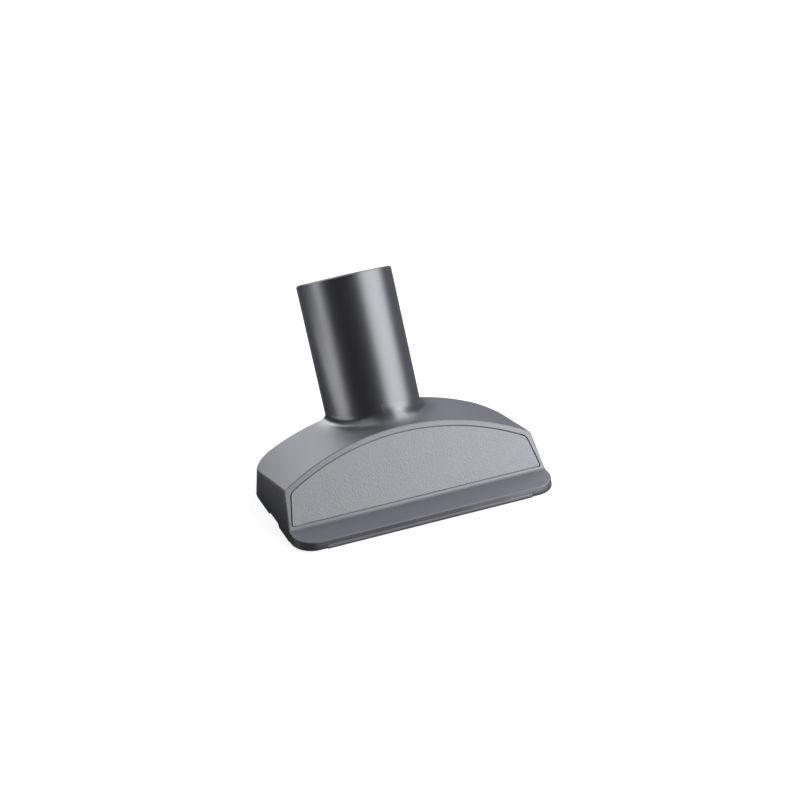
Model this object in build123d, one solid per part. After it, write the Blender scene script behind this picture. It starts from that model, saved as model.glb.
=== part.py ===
from build123d import *
import os
from math import atan2, cos, degrees, pi, radians, sin, tan

from OCP.BRepFilletAPI import BRepFilletAPI_MakeFillet
from OCP.gp import gp_Pnt2d
from OCP.TColgp import TColgp_Array1OfPnt2d

# Flat vacuum nozzle, millimetres.
# +X is the width, +Y runs from the front lip to the socket, +Z is up, the sole stands on Z = 0.

# Sole and front lip
sole_width = 116.5        # over the end walls, at the floor
sole_depth = 56.5         # front edge of the lip to the foot of the rear wall
lip_depth = 11.9          # ledge in front of the sloping face
lip_height = 4.3          # thickness of the sole and of the lip
lip_corner = 9.0          # plan radius of the front corners
foot_edge = 0.2           # chamfer of the lower edge round the sole
lip_relief = 0.4          # underside of the lip stands clear of the floor
relief_depth = 11.0       # front edge of the lip to the back of that relief

# Hood
wall = 2.3                # wall of the hood
face_lean = 37.1          # front face, from the vertical
face_height = 30.95       # slope height of the face at the middle
arch_rise = 16.5          # fall of the face's top edge from the middle to the ends
top_drop = 10.7           # top surface falls towards the rear
arch_tighten = 0.26       # loss of the arch's radius towards the rear, for each millimetre
end_lean = 8.6            # end walls lean in
end_taper = 1.2           # end walls close in towards the rear
rear_lean = 14.0          # rear wall leans back
rear_corner = 9.5         # plan radius of the rear corners
top_edge = 1.2            # rounding along the top of the end and rear walls
face_edge = 0.4           # rounding round the front face and along the ledge
face_blend = 1.0          # hollow rounding where the face meets the ledge

# Panel field on the front face
border_top = 2.1
border_end = 1.1          # at the foot of the face
border_foot = 1.3
panel_lean = 12.1         # sides of the field, from the line up the slope
panel_corner = 4.0        # upper corners
panel_foot_corner = 1.0   # lower corners
groove_width = 0.5
groove_depth = 0.8

# Socket tube
tube_lean = 31.8          # axis, from the vertical
tube_foot = 16.8          # where the axis meets the floor, behind the middle of the sole
tube_reach = 82.5         # floor to rim along the axis
tube_rim_radius = 20.3
tube_base_radius = 20.05
elbow_clear = 2.9         # floor to the lowest point of the round elbow
socket_radius = 17.5
socket_depth = 45.0
duct_radius = 16.3        # below the stop shoulder
rim_edge = 0.6            # chamfer of the rim's outer edge
socket_lead = 0.8         # chamfer at the mouth of the socket
neck_front = 11.0         # blend at the front of the tube's foot, out to the edge of the face
neck_fillet = 3.5         # blend along its sides and rear
neck_spread = 55          # half angle of the wide part of that blend, degrees

# Suction mouth
mouth_width = 92.0
mouth_front = 19.7        # front edge of the lip to the front of the mouth
mouth_depth = 20.0
mouth_corner = 4.0
mouth_edge = 0.8          # chamfer of the mouth's lower edge
slot_width = 12.6         # side air slots under the end walls, at the floor
slot_roof = 7.7           # their width at the top
slot_height = 1.3
slot_centre = 27.8        # behind the front edge of the lip

# Lint strips
strip_width = 91.0
strip_depth = 9.0
strip_height = 2.1        # rail and pile together
pile_height = 0.85
pile_edge = 0.25
rear_strip_gap = 4.0      # mouth to rear strip
strip_play = 0.15         # round the rail, in its recess
tab_length = 8.0          # snap tabs on top of the rail
tab_width = 2.4
tab_height = 1.2
tab_pitch = 30.0
tab_play = 0.1

# Derived places
elbow_reach = (tube_base_radius + elbow_clear) / cos(radians(tube_lean))
front = -sole_depth / 2
rear = sole_depth / 2
face_foot = front + lip_depth
mouth_centre = front + mouth_front + mouth_depth / 2
rear_strip = front + mouth_front + mouth_depth + rear_strip_gap

face_plane = Plane(
    origin=(0, face_foot, lip_height),
    x_dir=(1, 0, 0),
    z_dir=(0, -cos(radians(face_lean)), sin(radians(face_lean))),
)
tube_frame = Plane(
    origin=(0, tube_foot, 0),
    x_dir=(1, 0, 0),
    z_dir=(0, sin(radians(tube_lean)), cos(radians(tube_lean))),
)
sweep = Vector(0, cos(radians(top_drop)), -sin(radians(top_drop)))
arch_radius = ((sole_width / 2) ** 2 + arch_rise**2) / (2 * arch_rise)
arch_centre = face_height - arch_radius
end_slope = tan(radians(end_lean))
end_run = tan(radians(end_taper))


def end_plane(side, inset):
    """Plane of one end wall, its normal pointing out of the hood."""
    normal = Vector(side, end_run, end_slope)
    half = sole_width / 2 - inset * normal.length
    return Plane(origin=(side * half, front, 0), z_dir=normal)


def arch_bar(inset):
    """The space under the arched top: it falls towards the rear and its arch tightens."""
    skew = cos(radians(face_lean - top_drop))
    discs = []
    for along in (-20, 90):
        radius = arch_radius - along * arch_tighten - inset / skew
        height = arch_centre + along * arch_tighten
        disc = face_plane * Pos(0, height) * Circle(radius)
        discs.append(disc.moved(Location(sweep * along)))
    return loft(discs, ruled=True)


def side_bar(points):
    """A side outline in Y and Z carried across the width."""
    outline = Plane.YZ * Polygon(*points, align=None)
    return extrude(outline, amount=sole_width, both=True)


def between_ends(solid, inset):
    """Cut a bar off at both end walls."""
    for side in (-1, 1):
        solid = split(solid, bisect_by=end_plane(side, inset), keep=Keep.BOTTOM)
    return solid


def upright_edges(solid, low_y, high_y):
    """Edges that run upwards at the ends of the sole, within a range of Y."""
    found = ShapeList()
    for edge in solid.edges():
        size = edge.bounding_box().size
        middle = edge.center()
        at_end = abs(middle.X) > 0.4 * sole_width
        if at_end and size.Z > max(size.X, size.Y) and low_y < middle.Y < high_y:
            found.append(edge)
    return found


def off_face(point):
    """Distance of a point from the plane of the front face."""
    return abs(face_plane.to_local_coords(point).Z)


def edges_at_height(solid, height):
    """Level edges at one height."""
    low = height - 0.01
    high = height + 0.01
    return solid.edges().filter_by_position(Axis.Z, low, high)


def turned(outline):
    """An outline of radius and reach, turned about the tube axis."""
    return tube_frame * revolve(Plane.XZ * outline, Axis.Z)


# Hood with its lip, outside
top = lip_height + 45
face_run = tan(radians(face_lean))
rear_run = tan(radians(rear_lean))
hood_side = [
    (front, lip_relief),
    (front, lip_height),
    (face_foot, lip_height),
    (face_foot + (top - lip_height) * face_run, top),
    (rear + top * rear_run, top),
    (rear, 0),
    (front + relief_depth + lip_relief, 0),
    (front + relief_depth, lip_relief),
]
hood = between_ends(side_bar(hood_side), 0)
hood = fillet(upright_edges(hood, rear, rear + top), rear_corner)
hood = fillet(upright_edges(hood, front - 1, front + 1), lip_corner)
hood &= arch_bar(0)

# Roundings: along the walls under the top, round the face, round the ledge and the sole
crown = hood.faces().sort_by(Axis.Z)[-1]
hood = fillet([edge for edge in crown.edges() if off_face(edge.center()) > 1], top_edge)
face_foot_edges = [
    edge for edge in edges_at_height(hood, lip_height) if abs(edge.center().Y - face_foot) < 0.1
]
hood = fillet(face_foot_edges, face_blend)
face = min(hood.faces(), key=lambda item: off_face(item.center()))
brow = [edge for edge in face.edges() if edge.center().Z > lip_height + 2 * face_blend]
brow += [
    edge
    for edge in hood.edges()
    if abs(edge.center().X) > 0.4 * sole_width
    and abs(edge.center().Y - face_foot) < face_blend
    and abs(edge.center().Z - lip_height) < face_blend
    and edge.bounding_box().size.Z > 0.01
]
brow += [edge for edge in edges_at_height(hood, lip_height) if edge.center().Y < face_foot - 0.1]
hood = fillet(brow, face_edge)
for height in (0, lip_relief):
    round_sole = [
        edge
        for edge in edges_at_height(hood, height)
        if max(abs(edge.center().X), abs(edge.center().Y) - rear + 1) > 0.1
    ]
    hood = chamfer(round_sole, foot_edge)

# Neck: the tube and its round elbow in one turned outline, blended into the hood
neck_sides = Polyline(
    (tube_base_radius, elbow_reach),
    (tube_rim_radius, tube_reach - rim_edge),
    (tube_rim_radius - rim_edge, tube_reach),
    (0, tube_reach),
    (0, elbow_reach - tube_base_radius),
)
neck_elbow = CenterArc((0, elbow_reach), tube_base_radius, -90, 90)
neck = turned(make_face([*neck_sides.edges(), neck_elbow]))
body = hood + neck
neck_ring = new_edges(hood, neck, combined=body)


def neck_radius(place):
    """Radius of the blend at a place on the tube's foot."""
    local = tube_frame.to_local_coords(place)
    turn = abs(degrees(atan2(local.X, -local.Y)))
    share = cos(pi / 2 * min(turn / neck_spread, 1)) ** 2
    return neck_fillet + (neck_front - neck_fillet) * share


def widening_blend(solid, ring, steps=16):
    """Fillet whose radius changes along the edges, plain where that can't be made."""
    maker = BRepFilletAPI_MakeFillet(solid.wrapped)
    for edge in ring:
        law = TColgp_Array1OfPnt2d(1, steps + 1)
        for i in range(steps + 1):
            law.SetValue(i + 1, gp_Pnt2d(i / steps, neck_radius(edge @ (i / steps))))
        maker.Add(law, edge.wrapped)
    maker.Build()
    blended = Part(maker.Shape()) if maker.IsDone() else None
    if blended and blended.is_valid and blended.volume > solid.volume:
        return blended
    return fillet(ring, neck_fillet)


body = widening_blend(body.solid(), neck_ring)

# Hollow of the hood
inner_front = face_foot + wall / cos(radians(face_lean))
inner_rear = rear - wall / cos(radians(rear_lean))
hollow_side = [
    (inner_front, lip_height),
    (inner_front + (top - lip_height) * face_run, top),
    (inner_rear + top * rear_run, top),
    (inner_rear + lip_height * rear_run, lip_height),
]
hollow = between_ends(side_bar(hollow_side), wall)
hollow = fillet(upright_edges(hollow, inner_rear, inner_rear + top), rear_corner - wall)
hollow &= arch_bar(wall)

# Duct, stop shoulder, socket and its lead-in
shoulder = tube_reach - socket_depth
bore_sides = Polyline(
    (duct_radius, elbow_reach),
    (duct_radius, shoulder),
    (socket_radius, shoulder),
    (socket_radius, tube_reach - socket_lead),
    (socket_radius + socket_lead + 1, tube_reach + 1),
    (0, tube_reach + 1),
    (0, elbow_reach - duct_radius),
)
bore_elbow = CenterArc((0, elbow_reach), duct_radius, -90, 90)
bore = turned(make_face([*bore_sides.edges(), bore_elbow]))
body = body - hollow - bore

# Suction mouth and side air slots
mouth_outline = RectangleRounded(mouth_width, mouth_depth, mouth_corner)
body -= Pos(0, mouth_centre, -1) * extrude(mouth_outline, amount=lip_height + 2)
mouth_edges = ShapeList()
for edge in edges_at_height(body, 0):
    inside = abs(edge.center().Y - mouth_centre) < mouth_depth / 2 + 0.1
    if inside and abs(edge.center().X) < mouth_width / 2 + 0.1:
        mouth_edges.append(edge)
body = chamfer(mouth_edges, mouth_edge)
slot_y = front + slot_centre
slot_outline = Plane.YZ * Polygon(
    (slot_y - slot_width / 2 - 0.1, -0.05),
    (slot_y + slot_width / 2 + 0.1, -0.05),
    (slot_y + slot_roof / 2, slot_height),
    (slot_y - slot_roof / 2, slot_height),
    align=None,
)
slot_bar = extrude(slot_outline, amount=sole_width, both=True)
body -= slot_bar

# Groove round the panel field
face_half = sole_width / 2 - end_slope * lip_height - end_run * lip_depth


def panel_half(height):
    """Half the width of the panel field at a height up the slope of the face."""
    return face_half - border_end - height * tan(radians(panel_lean))


panel_top = face_height + 5
panel_window = Polygon(
    (-panel_half(border_foot), border_foot),
    (panel_half(border_foot), border_foot),
    (panel_half(panel_top), panel_top),
    (-panel_half(panel_top), panel_top),
    align=None,
)
panel = panel_window & Pos(0, arch_centre) * Circle(arch_radius - border_top)
lower = panel.vertices().group_by(Axis.Y)[0]
panel = fillet(lower, panel_foot_corner)
panel = fillet(panel.vertices().sort_by(Axis.Y)[-2:], panel_corner)
groove = panel - offset(panel, -groove_width)
body -= extrude(face_plane * groove, amount=-groove_depth)

# Lint strips: a rail with snap tabs, pile under it, in a recess of the sole
front_strip_y = front + strip_depth / 2
rear_strip_y = rear_strip + strip_depth / 2
tabs_x = [-tab_pitch, 0, tab_pitch]


def block(width, depth, low, high):
    """A block centred in plan, between two heights."""
    return extrude(Pos(0, 0, low) * Rectangle(width, depth), amount=high - low)


def tabs(play):
    """The row of snap tabs on top of a rail, or with play the pockets that take them."""
    tab = block(tab_length + 2 * play, tab_width + 2 * play, strip_height, strip_height + tab_height + play)
    return Part() + [Pos(x, 0, 0) * tab for x in tabs_x]


recess = block(strip_width + 2 * strip_play, strip_depth + 2 * strip_play, -1, strip_height)
recess += tabs(tab_play)
front_mouth = Pos(0, -strip_depth / 2, 0) * block(strip_width + 2 * strip_play, 4, -1, strip_height)
body -= Pos(0, front_strip_y, 0) * (recess + front_mouth)
body -= Pos(0, rear_strip_y, 0) * recess

rail = block(strip_width, strip_depth, pile_height, strip_height)
rail += tabs(0)
pile = block(strip_width, strip_depth, 0, pile_height)
pile = chamfer(edges_at_height(pile, 0), pile_edge)

nodes = {
    "nozzle_body": body,
    "front_strip_rail": Pos(0, front_strip_y, 0) * rail,
    "front_strip_pile": Pos(0, front_strip_y, 0) * pile,
    "rear_strip_rail": Pos(0, rear_strip_y, 0) * rail,
    "rear_strip_pile": Pos(0, rear_strip_y, 0) * pile,
}

# Origin: the middle of the bounding box, on the floor
box = body.bounding_box()
centre = Pos(0, -(box.min.Y + box.max.Y) / 2, 0)
os.makedirs("parts", exist_ok=True)
for name, solid in nodes.items():
    solid = centre * solid
    solid.label = name
    export_step(solid, "parts/" + name + ".step")
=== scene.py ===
from math import cos, hypot, pi, radians, sin, tan

import bpy
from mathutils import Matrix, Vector

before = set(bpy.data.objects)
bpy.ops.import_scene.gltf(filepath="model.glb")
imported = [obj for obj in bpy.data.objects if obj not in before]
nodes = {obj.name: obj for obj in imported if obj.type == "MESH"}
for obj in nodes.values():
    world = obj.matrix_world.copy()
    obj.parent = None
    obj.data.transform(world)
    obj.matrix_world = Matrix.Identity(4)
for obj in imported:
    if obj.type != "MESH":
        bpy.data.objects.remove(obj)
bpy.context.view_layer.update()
scene = bpy.context.scene
scene.view_settings.view_transform = "Standard"

# Places on the part, in metres and degrees
FACE_FOOT = Vector((0, -0.04083, 0.0043))  # foot of the sloping front face
FACE_LEAN = 37.1  # of that face, from the vertical
ARCH_CENTRE = -0.08012  # up the slope of the face
GROOVE_ARCH = 0.10872  # radius of the groove's top line
GROOVE_FOOT = 0.00155  # its foot line, up the slope
GROOVE_HALF = 0.0560  # its half width at the foot of the face
GROOVE_NARROWING = 0.2144  # loss of half width up the slope
END_INNER = 0.045  # the end walls lie outside this half width
TUBE_FOOT = Vector((0, -0.00768, 0))  # where the tube's axis meets the floor
TUBE_LEAN = 31.8  # of that axis, from the vertical
TUBE_RADIUS = 0.0203
FOCUS = Vector((0, -0.03258, 0.025))  # what the lamps and the camera point at

# How a facet of the body is told to lie on the face, in the groove or on an end wall
FACE_SLACK = 0.0001  # distance from the plane of the face
FACE_MATCH = 0.999  # cosine of the angle to the face
GROOVE_DEPTHS = (0.00005, 0.001)  # below the face
GROOVE_MARGIN = 0.0004  # reach past the groove's middle line
END_MATCH = 0.93  # cosine of the angle to an upright end

# Material slots of the body
BODY, PANEL, GROOVE, SMOOTH = range(4)

# Make-up of the plastics: scales per metre, lengths in metres, tones as shares of the pale tone
CLOUD_SCALE = 60.0
CLOUD_MIX = (0.2, 0.8)
FINE_GRAIN = 2600.0
FINE_SPECKLE = 0.04
SPECKLE_TONE = 1.9
WEAR_RADIUS = 0.0006
WEAR_GAIN = 3.0
WEAR_SCALE = 300.0
WEAR_MIX = (0.15, 0.45)
WEAR_TONE = 1.7
ROUGHNESS_SWAY = 0.03
PLASTIC_IOR = 1.5
# Past this fade the hood's tone is painted lighter than the tube's, as painted light from above
TUBE_FADE = 0.009  # from the tube's wall out to the hood's finish

# Make-up of the pile
PILE_SCALE = 2600.0
PILE_DEPTH = 0.0003

# Floor and surroundings
FLOOR_SIZE = 8
FLOOR_DROP = 0.0002  # below the sole
FLOOR_TONE = 0.11  # as it lights the part
FLOOR_SEEN_TONE = 0.26  # as the camera sees it, with the glow
FLOOR_GLOW = 0.80
AMBIENT = 0.05

# Lamps
LAMP_COLOUR = (0.95, 0.96, 1.0)
FLOOR_LAMP_HEIGHT = 0.001
FRONT_LAMP_Y = -0.085
FRONT_LAMP_HALF_DEPTH = 0.031
FRONT_LAMP_STEPS = (  # left end, right end, radiance
    (-0.050, -0.008, 0.6),
    (-0.008, 0.018, 0.9),
    (0.018, 0.036, 1.5),
    (0.036, 0.113, 2.4),
)

# Camera: degrees, metres, millimetres for the lens and the sensor, shift in frame widths
CAMERA_AIM = (-24.47, 31.865)
CAMERA_DISTANCE = 1.1
CAMERA_SENSOR = 36
CAMERA_LENS = 121.92
CAMERA_SHIFT = (-0.01405, 0.0585)
CAMERA_REACH = 20


def direction(azimuth, elevation):
    """Unit vector from the object; azimuth 0 is the front, 90 the right."""
    a = radians(azimuth)
    e = radians(elevation)
    return Vector((sin(a) * cos(e), -cos(a) * cos(e), sin(e)))


def scaled(colour, share):
    """A colour made lighter or darker."""
    return tuple(c * share for c in colour[:3]) + (1,)


def grey(level):
    return (level, level, level, 1)


class Nodes:
    """A material's node tree with short ways to add and join nodes."""

    def __init__(self, name):
        self.material = bpy.data.materials.new(name)
        self.material.use_nodes = True
        self.tree = self.material.node_tree
        self.tree.nodes.clear()
        self.out = self.add("ShaderNodeOutputMaterial")

    def add(self, kind, inputs=None, **settings):
        node = self.tree.nodes.new(kind)
        for key, value in settings.items():
            setattr(node, key, value)
        for key, value in (inputs or {}).items():
            self.put(node.inputs[key], value)
        return node

    def put(self, socket, value):
        """Join an input to another node's output, or set it to a value."""
        if isinstance(value, bpy.types.NodeSocket):
            self.tree.links.new(value, socket)
        else:
            socket.default_value = value

    def maths(self, operation, a, b):
        node = self.add("ShaderNodeMath", {0: a, 1: b}, operation=operation)
        return node.outputs[0]

    def spread(self, value, low, high):
        """A value from 0 to 1 spread over a range."""
        node = self.add("ShaderNodeMapRange", {"Value": value, "To Min": low, "To Max": high})
        return node.outputs["Result"]

    def noise(self, scale, detail=2.0, roughness=0.5):
        place = self.add("ShaderNodeTexCoord").outputs["Object"]
        node = self.add(
            "ShaderNodeTexNoise",
            {"Vector": place, "Scale": scale, "Detail": detail, "Roughness": roughness},
        )
        return node.outputs["Fac"]

    def mixed(self, factor, first, second):
        """A colour between two others."""
        node = self.add("ShaderNodeMix", {"Factor": factor}, data_type="RGBA")
        colours = [socket for socket in node.inputs if socket.type == "RGBA"]
        for socket, value in zip(colours, (first, second)):
            self.put(socket, value)
        return [socket for socket in node.outputs if socket.type == "RGBA"][0]

    def edge_mask(self, radius, gain):
        """Near 1 along the edges, where the rounded normal leaves the true one."""
        soft = self.add("ShaderNodeBevel", {"Radius": radius}, samples=4).outputs["Normal"]
        true = self.add("ShaderNodeNewGeometry").outputs["Normal"]
        dot = self.add("ShaderNodeVectorMath", {0: soft, 1: true}, operation="DOT_PRODUCT")
        lost = self.maths("SUBTRACT", 1.0, dot.outputs["Value"])
        clamp = self.add("ShaderNodeClamp", {"Value": self.maths("MULTIPLY", lost, gain)})
        return clamp.outputs[0]

    def off_tube(self, fade):
        """0 on the socket tube, rising to 1 over that distance from its wall."""
        place = self.add("ShaderNodeTexCoord").outputs["Object"]
        axis = (0, sin(radians(TUBE_LEAN)), cos(radians(TUBE_LEAN)))
        offset = self.add("ShaderNodeVectorMath", {0: place, 1: TUBE_FOOT}, operation="SUBTRACT")
        across = self.add(
            "ShaderNodeVectorMath", {0: offset.outputs[0], 1: axis}, operation="CROSS_PRODUCT"
        )
        distance = self.add("ShaderNodeVectorMath", {0: across.outputs[0]}, operation="LENGTH")
        rise = self.add(
            "ShaderNodeMapRange",
            {
                "Value": distance.outputs["Value"],
                "From Min": TUBE_RADIUS,
                "From Max": TUBE_RADIUS + fade,
            },
            interpolation_type="SMOOTHSTEP",
        )
        return rise.outputs["Result"]

    def bump(self, height, depth):
        """A normal that follows a height from 0 to 1, over that depth."""
        node = self.add("ShaderNodeBump", {"Height": height, "Strength": 1.0, "Distance": depth})
        return node.outputs["Normal"]

    def finish(self, surface):
        self.tree.links.new(surface, self.out.inputs["Surface"])
        return self.material


# Materials
def plastic(
    name, dark, pale, rough, grain_depth, grain_scale=FINE_GRAIN, speckle=FINE_SPECKLE, tube=None
):
    """Moulded satin plastic: cloudy tone, fine grain, rubbed edges.

    tube is the roughness of the smoother socket tube and the share of the tone that it keeps; the
    tube's darker tone against the hood's lighter one is painted shade on the tube and painted light
    on the hood, one moulding."""
    m = Nodes(name)
    cloud = m.noise(CLOUD_SCALE, detail=3.0)
    cloud_mix = m.spread(cloud, *CLOUD_MIX)
    fine = m.noise(grain_scale, roughness=0.6)
    tone = m.mixed(cloud_mix, dark, pale)
    tone = m.mixed(m.maths("MULTIPLY", fine, speckle), tone, scaled(pale, SPECKLE_TONE))
    edges = m.edge_mask(WEAR_RADIUS, WEAR_GAIN)
    worn = m.maths("MULTIPLY", edges, m.spread(m.noise(WEAR_SCALE), *WEAR_MIX))
    roughness = m.spread(cloud, rough - ROUGHNESS_SWAY, rough + ROUGHNESS_SWAY)
    # Painted shade and light: the tube keeps a darker share of the tone, the hood stays lighter for
    # the light it takes from above
    if tube:
        tube_rough, tube_shade_share = tube
        hood = m.off_tube(TUBE_FADE)
        roughness = m.maths("SUBTRACT", roughness, m.spread(hood, rough - tube_rough, 0.0))
        tube_shaded_tone = m.mixed(cloud_mix, scaled(dark, tube_shade_share), scaled(pale, tube_shade_share))
        tone = m.mixed(hood, tube_shaded_tone, tone)
    shader = m.add(
        "ShaderNodeBsdfPrincipled",
        {
            "Base Color": m.mixed(worn, tone, scaled(pale, WEAR_TONE)),
            "Roughness": roughness,
            "IOR": PLASTIC_IOR,
            "Specular IOR Level": 1.0,
            "Normal": m.bump(fine, grain_depth),
        },
    )
    return m.finish(shader.outputs[0])


def pile(name, dark, pale):
    """Short dense pile."""
    m = Nodes(name)
    tuft = m.noise(PILE_SCALE, roughness=0.7)
    shader = m.add(
        "ShaderNodeBsdfPrincipled",
        {
            "Base Color": m.mixed(tuft, dark, pale),
            "Roughness": 0.95,
            "Sheen Weight": 0.25,
            "Normal": m.bump(tuft, PILE_DEPTH),
        },
    )
    return m.finish(shader.outputs[0])


# The tube keeps 0.55 of this tone: painted shade on the tube, painted light on the lighter hood
body_plastic = plastic(
    "body_plastic",
    dark=(0.0215, 0.022, 0.029, 1),
    pale=(0.027, 0.0275, 0.0365, 1),
    rough=0.54,
    grain_depth=0.000012,
    tube=(0.36, 0.55),
)
# Painted sheen: the panel is the body's moulding, its tone painted lighter for the broad sheen of its
# grained finish
panel_painted_sheen = plastic(
    "panel_painted_sheen",
    dark=(0.064, 0.065, 0.069, 1),
    pale=(0.083, 0.084, 0.088, 1),
    rough=0.46,
    grain_depth=0.00007,
    grain_scale=1400.0,
    speckle=0.36,
)
# Painted shade: darker than the body for the shade on the end walls; the panel's border shares this
# darker tone
smooth_painted_shade = plastic(
    "smooth_painted_shade",
    dark=(0.0175, 0.018, 0.024, 1),
    pale=(0.022, 0.0225, 0.030, 1),
    rough=0.35,
    grain_depth=0.000012,
)
# Painted shade: the groove's tone is darker than the panel around it, for the shade in the groove
groove_painted_shade = plastic(
    "groove_painted_shade",
    dark=(0.028, 0.028, 0.031, 1),
    pale=(0.036, 0.036, 0.039, 1),
    rough=0.5,
    grain_depth=0.00001,
)
rail_plastic = plastic(
    "rail_plastic",
    dark=(0.12, 0.12, 0.126, 1),
    pale=(0.15, 0.15, 0.156, 1),
    rough=0.42,
    grain_depth=0.00001,
)
strip_pile = pile("strip_pile", dark=(0.012, 0.012, 0.014, 1), pale=(0.05, 0.05, 0.055, 1))


def dress(node, *materials):
    """Give a piece its materials, in the order of its slots."""
    mesh = nodes[node].data
    mesh.materials.clear()
    for material in materials:
        mesh.materials.append(material)


dress("nozzle_body", body_plastic, panel_painted_sheen, groove_painted_shade, smooth_painted_shade)
dress("front_strip_rail", rail_plastic)
dress("rear_strip_rail", rail_plastic)
dress("front_strip_pile", strip_pile)
dress("rear_strip_pile", strip_pile)

# The panel inside the groove is grained and painted lighter as painted sheen, the groove dull and
# darker than the panel as painted shade, the panel's border and the end walls smooth and darker, as
# painted shade on the end walls
face_up = Vector((0, sin(radians(FACE_LEAN)), cos(radians(FACE_LEAN))))
face_out = Vector((0, -cos(radians(FACE_LEAN)), sin(radians(FACE_LEAN))))


def past_groove(offset):
    """Distance of a place on the face outside the groove's middle line, negative inside it."""
    rise = offset.dot(face_up)
    over_arch = hypot(offset.x, rise - ARCH_CENTRE) - GROOVE_ARCH
    past_side = abs(offset.x) - GROOVE_HALF + rise * GROOVE_NARROWING
    return max(over_arch, past_side, GROOVE_FOOT - rise)


def slot(facet):
    """The material slot for a facet of the body."""
    offset = facet.center - FACE_FOOT
    depth = -offset.dot(face_out)
    outside = past_groove(offset)
    on_face = abs(depth) < FACE_SLACK and facet.normal.dot(face_out) > FACE_MATCH
    on_end = abs(facet.center.x) > END_INNER and abs(facet.normal.x) > END_MATCH
    if on_face and outside < 0:
        return PANEL
    if GROOVE_DEPTHS[0] < depth < GROOVE_DEPTHS[1] and outside < GROOVE_MARGIN:
        return GROOVE
    if on_face or on_end:
        return SMOOTH
    return BODY


for polygon in nodes["nozzle_body"].data.polygons:
    polygon.material_index = slot(polygon)


# Floor: plain and pale, white to the camera except for a soft shadow
def floor_finish(name):
    m = Nodes(name)
    lit = m.add("ShaderNodeBsdfDiffuse", {"Color": grey(FLOOR_TONE)})
    pale = m.add("ShaderNodeBsdfDiffuse", {"Color": grey(FLOOR_SEEN_TONE)})
    glow = m.add("ShaderNodeEmission", {"Color": grey(1), "Strength": FLOOR_GLOW})
    white = m.add("ShaderNodeAddShader", {0: pale.outputs[0], 1: glow.outputs[0]})
    seen = m.add("ShaderNodeLightPath").outputs["Is Camera Ray"]
    shader = m.add("ShaderNodeMixShader", {0: seen, 1: lit.outputs[0], 2: white.outputs[0]})
    return m.finish(shader.outputs[0])


bpy.ops.mesh.primitive_plane_add(size=FLOOR_SIZE, location=(0, 0, -FLOOR_DROP))
floor = bpy.context.object
floor.name = "floor"
floor.data.materials.append(floor_finish("floor"))

# World: white to the camera, dim elsewhere
world = bpy.data.worlds.new("studio")
scene.world = world
world.use_nodes = True
tree = world.node_tree
background = tree.nodes["Background"]
path = tree.nodes.new("ShaderNodeLightPath")
level = tree.nodes.new("ShaderNodeMapRange")
level.inputs["To Min"].default_value = AMBIENT
level.inputs["To Max"].default_value = 1.0
tree.links.new(path.outputs["Is Camera Ray"], level.inputs["Value"])
tree.links.new(level.outputs["Result"], background.inputs["Strength"])
background.inputs["Color"].default_value = grey(1)


# Lamps
def flat_lamp(name, wide, high, radiance, location, rotation):
    """A rectangle of even light, hidden from the camera."""
    lamp = bpy.data.lights.new(name, "AREA")
    lamp.shape = "RECTANGLE"
    lamp.size = wide
    lamp.size_y = high
    lamp.energy = radiance * pi * wide * high
    lamp.color = LAMP_COLOUR
    box = bpy.data.objects.new(name, lamp)
    scene.collection.objects.link(box)
    box.visible_camera = False
    box.location = location
    box.rotation_euler = rotation


def softbox(name, aim, distance, half_size, radiance):
    """A lamp at that azimuth and elevation, its half size in degrees as the object sees it."""
    wide, high = (2 * distance * tan(radians(half)) for half in half_size)
    away = direction(*aim)
    turn = away.to_track_quat("Z", "Y").to_euler()
    flat_lamp(name, wide, high, radiance, FOCUS + away * distance, turn)


def floor_box(name, centre, half_size, radiance, turn=0):
    """A lamp lying on the floor, facing up, its half size in metres."""
    wide, deep = (2 * half for half in half_size)
    place = (*centre, FLOOR_LAMP_HEIGHT)
    flat_lamp(name, wide, deep, radiance, place, (pi, 0, radians(turn)))


softbox("key_right", aim=(54, 28), distance=0.9, half_size=(28, 21), radiance=7.8)
softbox("fill_left", aim=(-97, 3), distance=0.7, half_size=(13, 8), radiance=6.5)
softbox("back_top", aim=(-178, 22), distance=1.0, half_size=(16, 9), radiance=7.4)
softbox("back_wide", aim=(160, 38), distance=1.0, half_size=(34, 20), radiance=2.1)
softbox("back_low", aim=(156, 3), distance=1.2, half_size=(14, 5), radiance=0.4)
softbox("over_right", aim=(98, 52), distance=0.9, half_size=(24, 12), radiance=7.2)
softbox("over_left", aim=(-136, 56), distance=0.9, half_size=(26, 13), radiance=2.2)
floor_box("floor_left", centre=(-0.235, 0.017), half_size=(0.117, 0.073), radiance=5.0, turn=12)
# In front of the lip, stronger in steps towards the right
for step, (left, right, radiance) in enumerate(FRONT_LAMP_STEPS):
    floor_box(
        f"floor_front_{step}",
        centre=((left + right) / 2, FRONT_LAMP_Y),
        half_size=((right - left) / 2, FRONT_LAMP_HALF_DEPTH),
        radiance=radiance,
    )

# Camera
camera_data = bpy.data.cameras.new("camera")
camera = bpy.data.objects.new("camera", camera_data)
scene.collection.objects.link(camera)
scene.camera = camera
view = direction(*CAMERA_AIM)
camera.location = FOCUS + view * CAMERA_DISTANCE
camera.rotation_euler = view.to_track_quat("Z", "Y").to_euler()
camera_data.sensor_width = CAMERA_SENSOR
camera_data.lens = CAMERA_LENS
camera_data.shift_x, camera_data.shift_y = CAMERA_SHIFT
camera_data.clip_end = CAMERA_REACH
